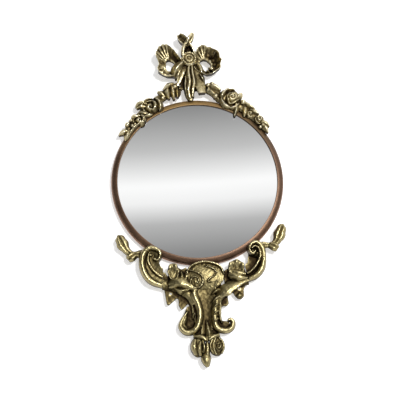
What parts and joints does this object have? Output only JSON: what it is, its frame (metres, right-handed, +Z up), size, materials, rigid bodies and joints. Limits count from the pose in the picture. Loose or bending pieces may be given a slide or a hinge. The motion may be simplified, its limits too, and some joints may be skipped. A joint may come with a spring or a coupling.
{
  "type": "girandole mirror",
  "caption": "Round wall mirror in a narrow turned ring, with a cast brass ribbon bow and flower garlands above it and a scrolled leaf bracket with rosebuds below it.",
  "frame": {"origin": "centre of the mirror's round back face, which is the back of the ring and of the back board", "axes": "+Z up the object, from the rosebuds to the bow; -Y forward, the way the mirror faces; +X to the viewer's right"},
  "size_m": [0.25, 0.0274, 0.4982],
  "materials": {
    "cast_brass": "cast, antiqued: olive-gold with dark recesses and rubbed bright edges",
    "ring_bronze": "turned, warm brown patina with a coppery edge",
    "silvered_glass": "flat silvered glass with a ground edge",
    "packing_card": "grey-brown card",
    "board_wood": "dark stained thin board",
    "bumper_felt": "dark felt",
    "fixing_steel": "dull zinc-plated steel"
  },
  "bodies": {
    "mirror": {"frame_ring": "ring_bronze", "mirror_glass": "silvered_glass", "packing_sheet": "packing_card", "back_board": "board_wood", "wall_bumper_1": "bumper_felt", "wall_bumper_2": "bumper_felt", "bow": "cast_brass", "rosette": "cast_brass", "garland_left": "cast_brass", "garland_right": "cast_brass", "shield_bracket": "cast_brass", "scroll_left": "cast_brass", "scroll_right": "cast_brass", "rosebud_left": "cast_brass", "rosebud_right": "cast_brass", "pendant_drop": "cast_brass", "turn_button_screw_1": "fixing_steel", "turn_button_screw_2": "fixing_steel", "turn_button_screw_3": "fixing_steel", "turn_button_screw_4": "fixing_steel", "hanger_plate": "fixing_steel", "hanger_screw_1": "fixing_steel", "hanger_screw_2": "fixing_steel", "garland_lap_screw_left": "fixing_steel", "garland_lap_screw_right": "fixing_steel", "bow_screw": "fixing_steel", "garland_screw_1": "fixing_steel", "garland_screw_2": "fixing_steel", "garland_screw_3": "fixing_steel", "garland_screw_4": "fixing_steel", "scroll_screw_left": "fixing_steel", "scroll_screw_right": "fixing_steel", "shield_screw_1": "fixing_steel", "shield_screw_2": "fixing_steel"},
    "hanging_loop": {"hanging_loop": "fixing_steel"},
    "turn_button_1": {"turn_button_1": "fixing_steel"},
    "turn_button_2": {"turn_button_2": "fixing_steel"},
    "turn_button_3": {"turn_button_3": "fixing_steel"},
    "turn_button_4": {"turn_button_4": "fixing_steel"}
  },
  "joints": [
    {"name": "loop_swing", "type": "hinge", "parent": "mirror", "child": "hanging_loop", "pos_m": [0, 0.0028, 0.1216], "axis": [1, 0, 0], "range_deg": [0, 180]},
    {"name": "button_turn_1", "type": "hinge", "parent": "mirror", "child": "turn_button_1", "pos_m": [0.11111, 0.0009, 0.05181], "axis": [0, 1, 0], "continuous": true},
    {"name": "button_turn_2", "type": "hinge", "parent": "mirror", "child": "turn_button_2", "pos_m": [-0.11111, 0.0009, 0.05181], "axis": [0, 1, 0], "continuous": true},
    {"name": "button_turn_3", "type": "hinge", "parent": "mirror", "child": "turn_button_3", "pos_m": [-0.11111, 0.0009, -0.05181], "axis": [0, 1, 0], "continuous": true},
    {"name": "button_turn_4", "type": "hinge", "parent": "mirror", "child": "turn_button_4", "pos_m": [0.11111, 0.0009, -0.05181], "axis": [0, 1, 0], "continuous": true}
  ]
}
